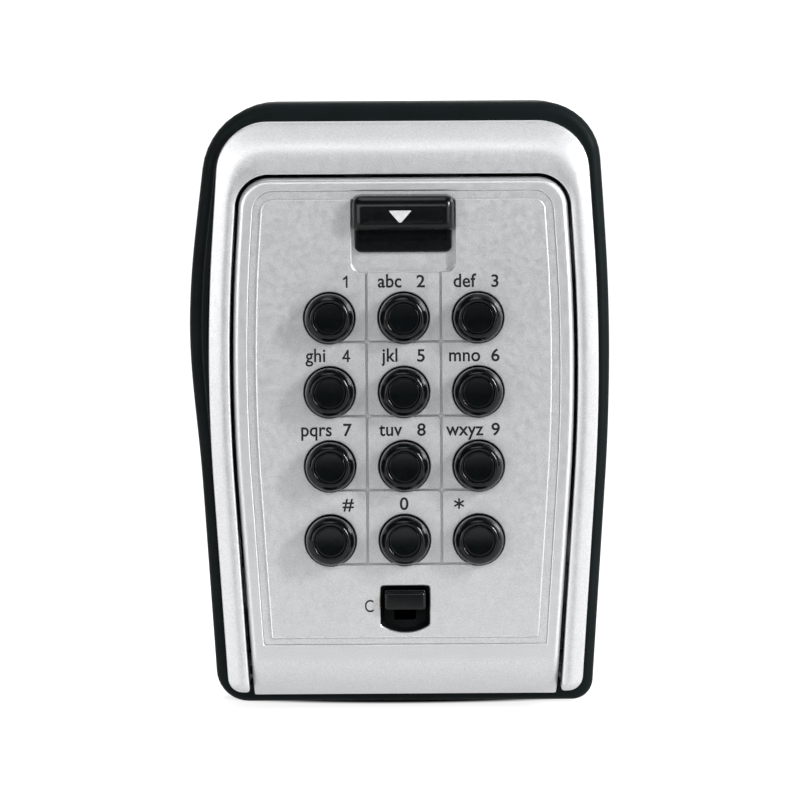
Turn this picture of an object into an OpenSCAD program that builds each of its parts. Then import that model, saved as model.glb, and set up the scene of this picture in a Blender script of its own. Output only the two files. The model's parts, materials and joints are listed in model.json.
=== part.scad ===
// Wall-mounted push-button key safe.
// The origin is the centre of the wall face. +Z is up, +X is right for a person facing the safe, and the
// front faces -Y. Depths ("front", "back") are distances from the wall, so a depth d lies at y = -d.

/* [Body] */
// Height of the bumper, the tallest piece
body_h = 120; // [116:1:126]
// Width of the bumper at its widest
body_w = 82.1; // [81.5:0.1:84]
// How far the bumper stands proud of the frame at each side
bumper_side = 2.6; // [2.4:0.05:3.2]
// How far the bumper stands proud of the frame at top and bottom
bumper_end = 3.6; // [3:0.1:4.2]
// Thickness of the back wall
back_t = 2.5; // [2:0.1:3]
// Thickness of the back box's side walls
wall_t = 2.2; // [1.8:0.1:2.4]

/* [Frame and door] */
// Width of the frame's legs beside the door
leg_w = 4.1; // [3.9:0.05:4.3]
// Height of the frame's band above the door
band_h = 10.3; // [9.8:0.1:10.6]
// Gap between the door and the frame
gap = 0.7; // [0.6:0.05:0.9]
// Radius of the door's rounded lower edge
door_lip_r = 8; // [6:0.5:8]

/* [Keypad] */
// Pitch of the buttons, across and down
pitch = 14.65; // [14.4:0.05:14.8]
// Height of the top row of buttons above the origin
top_row_z = 17.8; // [17:0.1:18.4]
// Diameter of a button
button_d = 9.7; // [9.4:0.1:10]
// How far a button stands out of the panel
button_out = 4.1; // [3:0.1:4.4]
// Travel of a button
button_travel = 2.4; // [1.6:0.1:2.6]

/* [Latch and clear slide] */
// Width of the latch's recess
latch_w = 20.4; // [19:0.1:21]
// Travel of the latch
latch_travel = 2.8; // [2.4:0.1:3]
// Width of the clear slide's recess
clear_w = 9.8; // [9:0.1:10.4]
// Travel of the clear slide
clear_travel = 2.2; // [1.6:0.1:2.2]

/* [Wall fixing] */
// Radius of the four holes in the back wall
wall_hole_r = 2.6; // [2.2:0.1:3]
// Distance between the wall holes across
wall_hole_x = 36; // [30:1:40]
// Distance between the wall holes up and down
wall_hole_z = 60; // [50:1:66]

/* [Hidden] */
KEYS = ["1", "2", "3", "4", "5", "6", "7", "8", "9", "hash", "0", "star"];
$fn = 48;

SILVER = [0.78, 0.79, 0.80];
BLACK = [0.11, 0.12, 0.13];
GLOSS_BLACK = [0.05, 0.06, 0.06];
STEEL = [0.62, 0.63, 0.65];
BRASS = [0.75, 0.62, 0.35];
EPS = 0.01;

// Clearances
seat_play = 0.05;                   // a shaft in a close hole
slip = 0.1;                         // faces that almost touch
play = 0.15;                        // a sliding fit
button_play = 0.25;                 // round a button
slack = 0.3;                        // a free fit

// Outline of the body: the sides bow out to their widest at wide_z and run straight beyond the bow
wide_z = 9;
bow_reach = 24;
bow_r = 364;
bow_slope = bow_reach / sqrt(bow_r * bow_r - bow_reach * bow_reach);

half_w = body_w / 2;
half_h = body_h / 2;
frame_half = half_w - bumper_side;
frame_top = half_h - bumper_end;
step_in = 1.3;                      // how far the body behind the frame's face is set in
opening_half = frame_half - leg_w;
opening_top = frame_top - band_h;
door_half = opening_half - gap;
door_top = opening_top - gap;
door_foot = -frame_top - 1.1;
door_pinch = 0.15;                  // extra clearance at the door's lower corners, for its swing
corner_r = 10;
leg_end_r = 2.8;
door_corner_r = 6;
bumper_top_r = 12;
bumper_bottom_r = 4.2;

// Depths from the wall
bumper_front = 27;
tub_front = 28;
collar_front = 36;
frame_front = 44;
lip_back = 41.5;                    // back of the frame's lip that the hooks catch behind
door_skirt_back = 38;
door_wall_back = 41;
door_floor = 42.8;                  // floor of the pocket that holds the fascia
fascia_edge = 43.8;
fascia_front = 44.1;
cover_back = 24.5;
chassis_back = 26;
chassis_plate_back = 34;
chassis_front = 35.8;
clear_back = 30;
clear_front = 31;
bolt_back = 32;
bolt_front = 33.2;
door_skirt_t = 2.2;

// Hinge, as [depth, z]: it lies in front of the door's centre of mass, so the door falls shut
hinge_place = [38.5, -50];
pin_r = 1.5;
pin_seat_r = 1.51;
pin_bore_r = 1.56;
pin_in = 24;
pin_out = 33.2;
bar_back = 32.5;
bar_top = -45;
bar_web = 3;
bar_hollow_top = -46.4;
bar_hollow_bottom = -53.4;

// Panel lines
line1_inset = 2.85;
line1_top = opening_top - 3.3;
line1_bottom = -46.8;
line1_top_r = 4.5;
line2_inset = 4.45;
line2_top = opening_top - 4.9;
line2_bottom = -45.5;
line2_top_r = 3.4;
line_bottom_r = 0.4;

// Latch: recess, handle, stem, screw and hooks
latch_top = 42.1;
latch_bottom = 26.9;
latch_plate_bottom = 30.7;
latch_corner_r = 2.2;
handle_bottom = 34.9;
handle_front = 47.2;
handle_r = 1.8;
handle_rim = 0.3;
bevel = 1.75;
bevel_top = 1.25;
stem_w = 8;
stem_bottom = 33.5;
stem_top = 39;
lever_screw_z = 36.2;
lever_screw_r = 1.02;
lever_screw_tip = 37.7;
lever_head_r = 2.2;
small_head_t = 1;
hook_x = 9;
hook_w = 5;
hook_back = 38.5;
hook_front = 40.5;
hook_top = opening_top + 2.1;
shelf_top = 42.8;
shelf_t = 1.5;
neck_half = 14;

// Clear slide: recess, grip, stem and screw
clear_top = -35.2;
clear_side_bottom = -43;
clear_mid_bottom = -44.5;
clear_floor = 42.2;
guide_wall = 0.7;
grip_bottom = -39.9;
grip_h = 3.3;
grip_sink = 0.5;
grip_front = 45.8;
grip_bevel = 0.7;
clear_stem_w = 4;
clear_stem_bottom = -39.8;
clear_stem_h = 2.8;
clear_screw_z = -38.5;
clear_screw_r = 0.82;
clear_screw_tip = 35.5;
clear_head_r = 1.8;
clear_plate_top = 24;
clear_tail_half = 6;

// Buttons and code pins
button_back = chassis_front + button_travel + slack;
button_face = fascia_front + button_out;
button_bore_r = 3.7;
shoulder = 0.9;
dish_r = 3.3;
dish_depth = 0.4;
flange_r = 6;
flange_t = 1;
hub_depth = 43.5;
pin_shaft_r = 2;
pin_head_r = 3;
pin_head_t = 1;
pin_end_play = 0.4;
pin_slot_w = 0.8;
notch_depth = 0.9;
notch_play = 0.5;

// Grooves between the keys
groove_w = 0.5;
groove_depth = 0.15;
groove_reach = 12.8;
groove_drop = 4.8;
groove_z = [for (row = [0:3]) top_row_z - groove_drop - row * pitch];

// Lock body
chassis_half = 25;
chassis_top = 42;
chassis_bottom = -44.9;
chassis_t = 1.5;
chassis_r = 2;
guide_top = 24.5;
guide_bottom = -33;
bolt_bottom = guide_bottom + 1;
plate_half = 18.4;
posts = [for (x = [-21.8, 21.8], z = [38.2, -39.6]) [x, z]];
post_r = 2.8;
mechanism_screw_r = 1.1;
mechanism_head_r = 2.3;
mechanism_head_t = 1.1;
mechanism_tip = 40;
slot_w = 0.6;
slot_depth = 0.5;

// Springs
wire_r = 0.25;
button_spring_r = 2.9;
plate_spring_r = 1.1;
release_spring_x = 13;
clear_spring_x = -16.2;

// Screw bosses in the back box, and the screws that hold the frame: [x, z]
low_bosses = [for (s = [-1, 1]) [s * 30, -36]];
bosses = concat([for (s = [-1, 1]) [s * 28, 50.8]], low_bosses);
boss_r = 4.2;
lug_front = 34;
lug_reach = 6;
screw_seat = tub_front - 6;
screw_tip = tub_front + 4;
frame_screw_r = 1.4;
frame_screw_head_r = 2.8;
frame_screw_head_t = 2;

function side(half, z) =
    let (d = abs(z - wide_z), s = min(d, bow_reach))
    half - bow_r + sqrt(bow_r * bow_r - s * s) - max(0, d - bow_reach) * bow_slope;

function unit(v) = v / norm(v);

// Points of one outline corner v between its neighbours p and q, rounded to radius r
function corner(p, v, q, r, steps = 7) =
    r == 0 ? [v] :
    let (u = unit(p - v),
         w = unit(q - v),
         half_angle = acos(u * w) / 2,
         c = v + unit(u + w) * r / sin(half_angle),
         first = v + u * r / tan(half_angle) - c,
         last = v + w * r / tan(half_angle) - c,
         start = atan2(first.y, first.x),
         turn = atan2(last.y, last.x) - start,
         sweep = turn > 180 ? turn - 360 : turn < -180 ? turn + 360 : turn)
    [for (k = [0:steps]) c + r * [cos(start + sweep * k / steps), sin(start + sweep * k / steps)]];

// An outline with each corner rounded to its own radius
function rounded(points, radii) =
    let (n = len(points))
    [for (i = [0:n - 1]) each corner(points[(i + n - 1) % n], points[i], points[(i + 1) % n], radii[i])];

// Outline with bowed sides, from bottom to top, anticlockwise from the lower right corner
function bowed(half, bottom, top, r_bottom, r_top, pinch = 0) =
    let (heights = concat([bottom], [for (k = [-3:3]) wide_z + bow_reach * k / 3], [top]),
         n = len(heights),
         right = [for (i = [0:n - 1]) [side(half, heights[i]) - (i == 0 ? pinch : 0), heights[i]]],
         radii = [for (i = [0:n - 1]) i == 0 ? r_bottom : i == n - 1 ? r_top : 0],
         back = [for (i = [0:n - 1]) n - 1 - i])
    rounded(concat(right, [for (i = back) [-right[i].x, right[i].y]]),
            concat(radii, [for (i = back) radii[i]]));

function button_place(k) = [pitch * (k % 3 - 1), top_row_z - pitch * floor(k / 3)];

// A flat shape drawn as seen from the front, from depth back to depth front
module slab(back, front) {
    translate([0, -back, 0]) rotate([90, 0, 0]) linear_extrude(front - back) children();
}

// A round bar along the depth direction, centred on button k
module rod(k, r, back, front) {
    slab(back, front) translate(button_place(k)) circle(r);
}

// A round bar across the safe, at place = [depth, z]
module across(place, r, half_length) {
    translate([-half_length, -place.x, place.y]) rotate([0, 90, 0]) cylinder(r = r, h = 2 * half_length);
}

module rounded_box(left, right, bottom, top, r) {
    polygon(rounded([[right, bottom], [right, top], [left, top], [left, bottom]], [r, r, r, r]));
}

module at_buttons() {
    for (k = [0:len(KEYS) - 1]) translate(button_place(k)) children();
}

module at_bosses() {
    for (place = bosses) translate(place) children();
}

module at_posts() {
    for (place = posts) translate(place) children();
}

module at_hooks() {
    for (s = [-1, 1]) translate([s * hook_x, 0]) children();
}

// A hole for a code pin's shaft in a plate that travels down
module pin_slot(travel) {
    half = pin_shaft_r + slack;
    translate([-half, -half]) square([2 * half, 2 * half + travel]);
}

// A closed coil of wire along +Z, standing on z = 0
module coil(radius, wire_r, height, turns, per_turn = 9, sides = 5) {
    rings = turns * per_turn;
    points = [for (i = [0:rings], k = [0:sides - 1])
        let (a = 360 * i / per_turn, b = 360 * k / sides, r = radius + wire_r * cos(b))
        [r * cos(a), r * sin(a), wire_r + (height - 2 * wire_r) * i / rings + wire_r * sin(b)]];
    walls = [for (i = [0:rings - 1], k = [0:sides - 1])
        let (a = i * sides + k, b = i * sides + (k + 1) % sides)
        [a, b, b + sides, a + sides]];
    ends = [[for (k = [sides - 1:-1:0]) k], [for (k = [0:sides - 1]) rings * sides + k]];
    polyhedron(points, concat(walls, ends));
}

module frame_outline(inset = 0) {
    polygon(bowed(frame_half - inset, inset - frame_top, frame_top - inset, leg_end_r - inset,
        corner_r - inset));
}

module door_outline(inset = 0) {
    polygon(bowed(door_half - inset, door_foot, door_top - inset, 0, door_corner_r - inset, door_pinch));
}

module line1_outline(inset = 0) {
    polygon(bowed(door_half - line1_inset - inset, line1_bottom + inset, line1_top - inset, line_bottom_r,
        line1_top_r));
}

module line2_outline() {
    polygon(bowed(door_half - line2_inset, line2_bottom, line2_top, line_bottom_r, line2_top_r));
}

module latch_outline(inset = 0) {
    half = latch_w / 2 - inset;
    rounded_box(-half, half, latch_bottom + inset, latch_top - inset, latch_corner_r);
}

// The clear slide's recess: straight sides and a bowed lower edge
module clear_outline(inset = 0) {
    half = clear_w / 2 - inset;
    drop = clear_side_bottom - clear_mid_bottom;
    bow = (half * half + drop * drop) / (2 * drop);
    top = clear_top - inset;
    reach = asin(half / bow);
    centre_z = clear_mid_bottom + inset + bow;
    polygon(concat([[half, top], [-half, top]],
        [for (k = [-6:6]) [bow * sin(reach * k / 6), centre_z - bow * cos(reach * k / 6)]]));
}

module chassis_outline(inset) {
    rounded_box(-chassis_half + inset, chassis_half - inset, chassis_bottom + inset, chassis_top - inset,
        chassis_r - inset / 2);
}

// ---- fixed to the wall ----

module back_box() {
    color(STEEL) difference() {
        union() {
            difference() {
                slab(0, tub_front) frame_outline(step_in);
                slab(back_t, tub_front + 1) frame_outline(step_in + wall_t);
            }
            intersection() {
                slab(0, tub_front) frame_outline(step_in);
                slab(0, tub_front) at_bosses() circle(boss_r);
            }
        }
        slab(-1, screw_seat) at_bosses() circle(frame_screw_head_r + slack);
        slab(-1, tub_front + 1) at_bosses() circle(frame_screw_r + slack);
        for (x = [-1, 1], z = [-1, 1])
            slab(-1, back_t + 1) translate([x * wall_hole_x / 2, z * wall_hole_z / 2]) circle(wall_hole_r);
    }
}

module front_frame() {
    color(SILVER) difference() {
        union() {
            difference() {
                union() {
                    slab(collar_front, frame_front) frame_outline();
                    slab(tub_front, collar_front) frame_outline(step_in);
                }
                slab(tub_front - 1, frame_front + 1)
                    polygon(bowed(opening_half, -half_h, opening_top, 0, door_corner_r + gap));
            }
            // lugs that take the lower screws
            intersection() {
                slab(tub_front, lug_front) frame_outline(step_in);
                slab(tub_front, lug_front) for (place = low_bosses) {
                    translate(place) circle(boss_r);
                    translate(place + [place.x > 0 ? 0 : -lug_reach, -boss_r])
                        square([lug_reach, 2 * boss_r]);
                }
            }
        }
        slab(tub_front - 1, screw_tip + 1) at_bosses() circle(frame_screw_r + seat_play);
        // pocket that the hooks enter
        slab(collar_front + 1, lip_back) translate([-neck_half, opening_top - 1])
            square([2 * neck_half, hook_top - opening_top + latch_travel / 2 + 1]);
        // blind seats of the hinge pins
        across(hinge_place, pin_seat_r, pin_out);
    }
}

module bumper() {
    color(BLACK) difference() {
        union() {
            slab(0, bumper_front) polygon(bowed(half_w, -half_h, half_h, bumper_bottom_r, bumper_top_r));
            slab(bumper_front, collar_front - play) frame_outline(slip);
        }
        slab(-1, frame_front) frame_outline(step_in - slip);
        // the collar stays clear of the door's foot
        slab(bumper_front, frame_front) translate([-side(opening_half, door_foot), -half_h])
            square([2 * side(opening_half, door_foot), half_h + hinge_place.y]);
    }
}

module frame_screws() {
    color(STEEL) {
        slab(screw_seat - frame_screw_head_t, screw_seat) at_bosses() circle(frame_screw_head_r);
        slab(screw_seat - EPS, screw_tip) at_bosses() circle(frame_screw_r);
    }
}

module hinge_pins() {
    color(STEEL) difference() {
        across(hinge_place, pin_r, pin_out - slip);
        translate([-pin_in, -frame_front, -half_h]) cube([2 * pin_in, frame_front, half_h]);
    }
}

// ---- the door ----

// The corner cut away below and in front of the door's rounded lower edge
module door_lip_cut() {
    difference() {
        translate([-half_w, -frame_front - 1, door_foot - 1]) cube([body_w, door_lip_r + 1, door_lip_r + 1]);
        across([frame_front - door_lip_r, door_lip_r + door_foot], door_lip_r, half_w);
    }
}

module door_shell() {
    color(SILVER) difference() {
        union() {
            slab(door_wall_back, frame_front) door_outline();
            difference() {
                slab(door_skirt_back, door_wall_back + EPS) door_outline();
                slab(door_skirt_back - 1, door_wall_back) door_outline(door_skirt_t);
            }
            intersection() {
                slab(bar_back, frame_front) door_outline();
                slab(bar_back, frame_front) translate([-half_w, -half_h]) square([body_w, bar_top + half_h]);
            }
            slab(chassis_front, door_wall_back + EPS) at_posts() circle(post_r);
        }
        slab(door_floor, frame_front + 1) line1_outline();
        slab(door_wall_back - 1, frame_front) {
            at_buttons() circle(button_d / 2 + button_play);
            clear_outline();
            // slot for the latch's stem
            translate([-stem_w / 2 - slack, latch_plate_bottom])
                square([stem_w + 2 * slack, stem_top - latch_plate_bottom + slack]);
        }
        // slots in the top wall that the hooks pass through
        slab(door_skirt_back - 1, hook_front + slack) at_hooks()
            translate([-hook_w / 2 - slack, door_top - door_skirt_t - 1])
                square([hook_w + 2 * slack, door_skirt_t + gap + 1]);
        // the lower bar is hollow between the hinge pins
        slab(bar_back - 1, door_wall_back) translate([-pin_in + bar_web, bar_hollow_bottom])
            square([2 * (pin_in - bar_web), bar_hollow_top - bar_hollow_bottom]);
        across(hinge_place, pin_bore_r, half_w);
        slab(chassis_front - 1, mechanism_tip + slack) at_posts() circle(mechanism_screw_r + seat_play);
        door_lip_cut();
    }
}

module keypad_fascia() {
    color(SILVER) difference() {
        union() {
            slab(door_floor, fascia_edge) line1_outline(slip);
            slab(fascia_edge - EPS, fascia_front) line2_outline();
        }
        slab(door_floor - 1, fascia_front + 1) {
            latch_outline();
            clear_outline();
            at_buttons() circle(button_d / 2 + button_play);
        }
        // shallow grooves that divide the keys
        slab(fascia_front - groove_depth, fascia_front + 1) {
            for (x = [-0.5, 0.5]) translate([x * pitch - groove_w / 2, groove_z[3]])
                square([groove_w, latch_bottom - groove_z[3]]);
            for (z = groove_z) translate([-groove_reach, z - groove_w / 2])
                square([2 * groove_reach, groove_w]);
        }
    }
}

module clear_guide() {
    color(BLACK) difference() {
        slab(door_wall_back, fascia_front - slip) clear_outline(slip);
        slab(clear_floor, fascia_front + 1) clear_outline(guide_wall);
        slab(door_wall_back - 1, frame_front)
            translate([-clear_stem_w / 2 - play, clear_stem_bottom - clear_travel - play])
                square([clear_stem_w + 2 * play, clear_stem_h + clear_travel + 2 * play]);
    }
}

module lock_chassis() {
    color(STEEL) difference() {
        union() {
            difference() {
                slab(chassis_back, chassis_front) chassis_outline(0);
                slab(chassis_back - 1, chassis_front + 1) chassis_outline(chassis_t);
            }
            slab(chassis_plate_back, chassis_front) translate([-chassis_half + chassis_t - EPS, guide_bottom])
                square([2 * (chassis_half - chassis_t + EPS), guide_top - guide_bottom]);
            slab(chassis_back, chassis_front) at_posts() circle(post_r);
        }
        slab(chassis_plate_back - 1, chassis_front + 1) at_buttons() circle(pin_shaft_r + seat_play);
        slab(chassis_back - 1, chassis_front + 1) at_posts() circle(mechanism_screw_r + slack);
        // the top wall is cut back so the bolt plate's shelf can pass
        slab(bolt_back - play, chassis_front + 1) translate([-neck_half - slack, chassis_top - chassis_t - 1])
            square([2 * (neck_half + slack), chassis_t + 2]);
    }
}

module mechanism_cover() {
    color(BLACK) difference() {
        slab(cover_back, chassis_back) chassis_outline(0);
        slab(cover_back - 1, chassis_back + 1) {
            at_buttons() circle(pin_head_r + slack);
            at_posts() circle(mechanism_screw_r + slack);
        }
    }
}

module mechanism_screws() {
    head_back = cover_back - mechanism_head_t;
    color(STEEL) {
        slab(cover_back - EPS, mechanism_tip) at_posts() circle(mechanism_screw_r);
        difference() {
            slab(head_back, cover_back) at_posts() circle(mechanism_head_r);
            slab(head_back - 1, head_back + slot_depth) at_posts()
                square([2 * mechanism_head_r, slot_w], center = true);
        }
    }
}

// ---- springs ----

module button_springs() {
    color(STEEL) for (k = [0:len(KEYS) - 1])
        translate([button_place(k).x, -chassis_front - slip, button_place(k).y]) rotate([90, 0, 0])
            coil(button_spring_r, wire_r, hub_depth - chassis_front - 2 * slip, 3);
}

module release_spring() {
    bottom = chassis_bottom + chassis_t + slip;
    color(STEEL) translate([release_spring_x, -(bolt_front + bolt_back) / 2, bottom])
        coil(plate_spring_r, wire_r, bolt_bottom - slip - bottom, 7);
}

module clear_spring() {
    bottom = clear_plate_top + slip;
    color(STEEL) translate([clear_spring_x, -(clear_front + clear_back) / 2, bottom])
        coil(plate_spring_r, wire_r, chassis_top - chassis_t - slip - bottom, 9);
}

// ---- the latch ----

module release_lever() {
    half = latch_w / 2 - play;
    handle_half = half - slip;
    handle_top = latch_top - play - slip;
    color(GLOSS_BLACK) difference() {
        union() {
            slab(door_floor + slip, fascia_front - slip)
                rounded_box(-half, half, latch_plate_bottom, latch_top - play, latch_corner_r);
            hull() {
                slab(fascia_front - slip - EPS, fascia_front)
                    rounded_box(-handle_half, handle_half, handle_bottom, handle_top, handle_r);
                slab(handle_front - handle_rim, handle_front)
                    rounded_box(bevel - handle_half, handle_half - bevel, handle_bottom + bevel,
                        handle_top - bevel_top, handle_r - bevel / 2);
            }
            slab(bolt_front, door_floor + 2 * slip) translate([-stem_w / 2, stem_bottom])
                square([stem_w, stem_top - stem_bottom]);
        }
        slab(bolt_front - 1, lever_screw_tip + slack) translate([0, lever_screw_z])
            circle(lever_screw_r + seat_play);
    }
}

module bolt_plate() {
    shelf_bottom = shelf_top - shelf_t;
    color(STEEL) difference() {
        union() {
            slab(bolt_back, bolt_front) {
                translate([-plate_half, bolt_bottom]) square([2 * plate_half, guide_top - bolt_bottom]);
                translate([-neck_half, guide_top - 1]) square([2 * neck_half, shelf_top - guide_top + 1]);
            }
            slab(bolt_front - EPS, hook_front) at_hooks() translate([-hook_w / 2, shelf_bottom])
                square([hook_w, shelf_t]);
            slab(hook_back, hook_front) at_hooks() translate([-hook_w / 2, shelf_bottom])
                square([hook_w, hook_top - shelf_bottom]);
        }
        slab(bolt_back - 1, bolt_front + 1) {
            at_buttons() pin_slot(latch_travel);
            translate([0, lever_screw_z]) circle(lever_screw_r + slack);
        }
    }
}

module lever_screw() {
    color(STEEL) {
        slab(bolt_back - EPS, lever_screw_tip) translate([0, lever_screw_z]) circle(lever_screw_r);
        slab(bolt_back - small_head_t, bolt_back) translate([0, lever_screw_z]) circle(lever_head_r);
    }
}

// ---- the clear slide ----

module clear_slider() {
    half = clear_w / 2 - guide_wall - play;
    grip_back = fascia_front - grip_sink;
    color(GLOSS_BLACK) difference() {
        union() {
            slab(clear_floor + slip, grip_back) intersection() {
                clear_outline(guide_wall + play);
                translate([-half, grip_bottom - slip]) square([2 * half, clear_top - grip_bottom]);
            }
            hull() {
                slab(grip_back - EPS, grip_back + slip) translate([-half, grip_bottom])
                    square([2 * half, grip_h]);
                slab(grip_front - slip, grip_front) translate([-half + grip_bevel, grip_bottom + grip_bevel])
                    square([2 * (half - grip_bevel), grip_h - 2 * grip_bevel]);
            }
            slab(clear_front, clear_floor + 2 * slip) translate([-clear_stem_w / 2, clear_stem_bottom])
                square([clear_stem_w, clear_stem_h]);
        }
        slab(clear_front - 1, clear_screw_tip + slack) translate([0, clear_screw_z])
            circle(clear_screw_r + seat_play);
    }
}

module clear_plate() {
    bottom = chassis_bottom + chassis_t + clear_travel + slack;
    color(BRASS) difference() {
        slab(clear_back, clear_front) {
            translate([-plate_half, guide_bottom]) square([2 * plate_half, clear_plate_top - guide_bottom]);
            translate([-clear_tail_half, bottom]) square([2 * clear_tail_half, guide_bottom - bottom + 1]);
        }
        slab(clear_back - 1, clear_front + 1) {
            at_buttons() pin_slot(clear_travel);
            translate([0, clear_screw_z]) circle(clear_screw_r + slack);
        }
    }
}

module clear_screw() {
    color(STEEL) {
        slab(clear_back - EPS, clear_screw_tip) translate([0, clear_screw_z]) circle(clear_screw_r);
        slab(clear_back - small_head_t, clear_back) translate([0, clear_screw_z]) circle(clear_head_r);
    }
}

// ---- buttons and code pins ----

module button(k) {
    flange_front = door_wall_back - slip;
    color(GLOSS_BLACK) difference() {
        union() {
            rod(k, button_d / 2, button_back, button_face - shoulder);
            rod(k, (button_d - shoulder) / 2, button_face - shoulder - EPS, button_face - shoulder / 3);
            rod(k, button_d / 2 - shoulder * 2 / 3, button_face - shoulder - EPS, button_face);
            rod(k, flange_r, flange_front - flange_t, flange_front);
        }
        rod(k, dish_r, button_face - dish_depth, button_face + 1);
        rod(k, button_bore_r, button_back - 1, hub_depth);
        rod(k, pin_shaft_r + seat_play, button_back, hub_depth + button_travel);
    }
}

module code_pin(k) {
    color(BRASS) difference() {
        union() {
            rod(k, pin_head_r, cover_back, cover_back + pin_head_t);
            rod(k, pin_shaft_r, cover_back + pin_head_t - EPS, hub_depth + button_travel - pin_end_play);
        }
        slab(cover_back - 1, cover_back + slot_depth) translate(button_place(k))
            square([2 * pin_head_r, pin_slot_w], center = true);
        // notch that lets the bolt plate pass when the pin is set
        slab(bolt_back - notch_play, bolt_front + notch_play)
            translate(button_place(k) + [-pin_shaft_r, pin_shaft_r - notch_depth])
                square([2 * pin_shaft_r, 2 * notch_depth]);
    }
}

back_box();
front_frame();
bumper();
frame_screws();
hinge_pins();
door_shell();
keypad_fascia();
clear_guide();
lock_chassis();
mechanism_cover();
mechanism_screws();
button_springs();
release_spring();
clear_spring();
release_lever();
bolt_plate();
lever_screw();
clear_slider();
clear_plate();
clear_screw();
for (k = [0:len(KEYS) - 1]) {
    button(k);
    code_pin(k);
}
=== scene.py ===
"""Looks of a wall-mounted push-button key safe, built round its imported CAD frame.

Lengths are in millimetres unless a comment says otherwise. A point is (x, depth, z), where depth is
the distance from the wall, and it becomes the Blender point (x, -depth, z) in metres.
"""
import json
import math

import bmesh
import bpy
from mathutils import Matrix, Vector


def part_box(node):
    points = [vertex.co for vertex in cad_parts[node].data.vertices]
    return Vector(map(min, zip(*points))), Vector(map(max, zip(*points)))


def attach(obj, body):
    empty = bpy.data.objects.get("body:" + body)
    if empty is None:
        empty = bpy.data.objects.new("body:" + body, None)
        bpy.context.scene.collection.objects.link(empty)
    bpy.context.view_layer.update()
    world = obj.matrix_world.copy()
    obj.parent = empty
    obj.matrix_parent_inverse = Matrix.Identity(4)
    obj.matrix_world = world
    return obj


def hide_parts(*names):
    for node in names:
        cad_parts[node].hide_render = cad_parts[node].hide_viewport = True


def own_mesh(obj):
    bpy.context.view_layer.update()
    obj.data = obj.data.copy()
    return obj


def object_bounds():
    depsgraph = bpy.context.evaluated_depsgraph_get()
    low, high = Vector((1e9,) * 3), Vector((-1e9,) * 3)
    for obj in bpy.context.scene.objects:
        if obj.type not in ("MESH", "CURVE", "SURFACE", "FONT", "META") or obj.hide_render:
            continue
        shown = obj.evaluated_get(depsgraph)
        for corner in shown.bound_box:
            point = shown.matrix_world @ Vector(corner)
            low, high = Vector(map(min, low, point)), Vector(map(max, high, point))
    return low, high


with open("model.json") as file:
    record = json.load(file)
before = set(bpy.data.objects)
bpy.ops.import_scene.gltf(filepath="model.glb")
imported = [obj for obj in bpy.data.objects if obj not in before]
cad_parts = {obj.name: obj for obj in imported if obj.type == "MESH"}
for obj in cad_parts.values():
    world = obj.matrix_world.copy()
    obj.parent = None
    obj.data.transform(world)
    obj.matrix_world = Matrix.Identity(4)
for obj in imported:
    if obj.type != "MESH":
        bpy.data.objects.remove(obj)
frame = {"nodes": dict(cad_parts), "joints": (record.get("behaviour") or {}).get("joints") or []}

cad_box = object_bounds()
MM = 0.001

# ------------------------ sizes
# What a CAD node's box gives is read from it; the rest repeats the CAD or adds finer detail


class Box:
    """A CAD node's box at rest: left, right, back, front (both from the wall), bottom and top."""

    def __init__(self, node):
        low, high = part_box(node)
        self.left, self.right = low[0] / MM, high[0] / MM
        self.back, self.front = -high[1] / MM, -low[1] / MM
        self.bottom, self.top = low[2] / MM, high[2] / MM
        self.x = (self.left + self.right) / 2
        self.z = (self.bottom + self.top) / 2


BUMPER = Box("bumper")
FRAME = Box("front_frame")
DOOR = Box("door_shell")
FASCIA = Box("keypad_fascia")
LEVER = Box("release_lever")
GUIDE = Box("clear_guide")
SLIDER = Box("clear_slider")
KEYS = ["1", "2", "3", "4", "5", "6", "7", "8", "9", "hash", "0", "star"]
BUTTONS = {key: Box("button_" + key) for key in KEYS}
PITCH = BUTTONS["2"].x - BUTTONS["1"].x

# The sides bow out to their widest at WIDE_Z and run straight beyond the bow
WIDE_Z = 9.0
BOW_REACH = 24.0
BOW_R = 364.0
BOW_SLOPE = BOW_REACH / math.sqrt(BOW_R ** 2 - BOW_REACH ** 2)

BUMPER_FRONT = 27.0  # of the bumper's front ring; its collar stands further forward
COLLAR_INSET = 0.1  # of the collar from the frame's side
STEP_IN = 1.3  # the frame's sides are this much narrower behind FRAME_STEP, for the collar
FRAME_STEP = 36.0
FRAME_CORNER_R = 10.0
FRAME_FOOT_R = 2.8
LEG_W = 4.1
DOOR_GAP = 0.7  # between the frame and the top of the door
OPENING_HALF = FRAME.right - LEG_W
OPENING_TOP = DOOR.top + DOOR_GAP
OPENING_R = 6.7

DOOR_ROWS = 90  # points along each flank, so that the door's and panel's rings match
DOOR_R = 6.0
DOOR_FOOT_R = 0.25
DOOR_PINCH = 0.15  # the door's sides draw in by this towards its foot
DOOR_SKIRT_BACK = 38.0
DOOR_SKIRT_T = 2.2
DOOR_WALL_BACK = 41.0
DOOR_FLOOR = FASCIA.back  # of the pocket that the panel lies in
LIP_R = 8.0  # of the door's lower front edge
BAR_TOP = -45.0
PANEL = FASCIA.front
LATCH_HALF, LATCH_BOTTOM, LATCH_TOP = 10.2, 26.9, 42.1  # of the latch's opening in the panel
CLEAR_FLOOR = 42.2  # of the clear slide's liner

FLANGE_R = BUTTONS["1"].right - BUTTONS["1"].x
BUTTON_R = FLANGE_R - 1.15
HOLE_R = BUTTON_R + 0.25  # of a button's bore


def side(half, z):
    """Half width at height z of a side whose widest half width is half."""
    d = abs(z - WIDE_Z)
    s = min(d, BOW_REACH)
    return half - BOW_R + math.sqrt(BOW_R ** 2 - s * s) - max(0.0, d - BOW_REACH) * BOW_SLOPE


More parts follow.
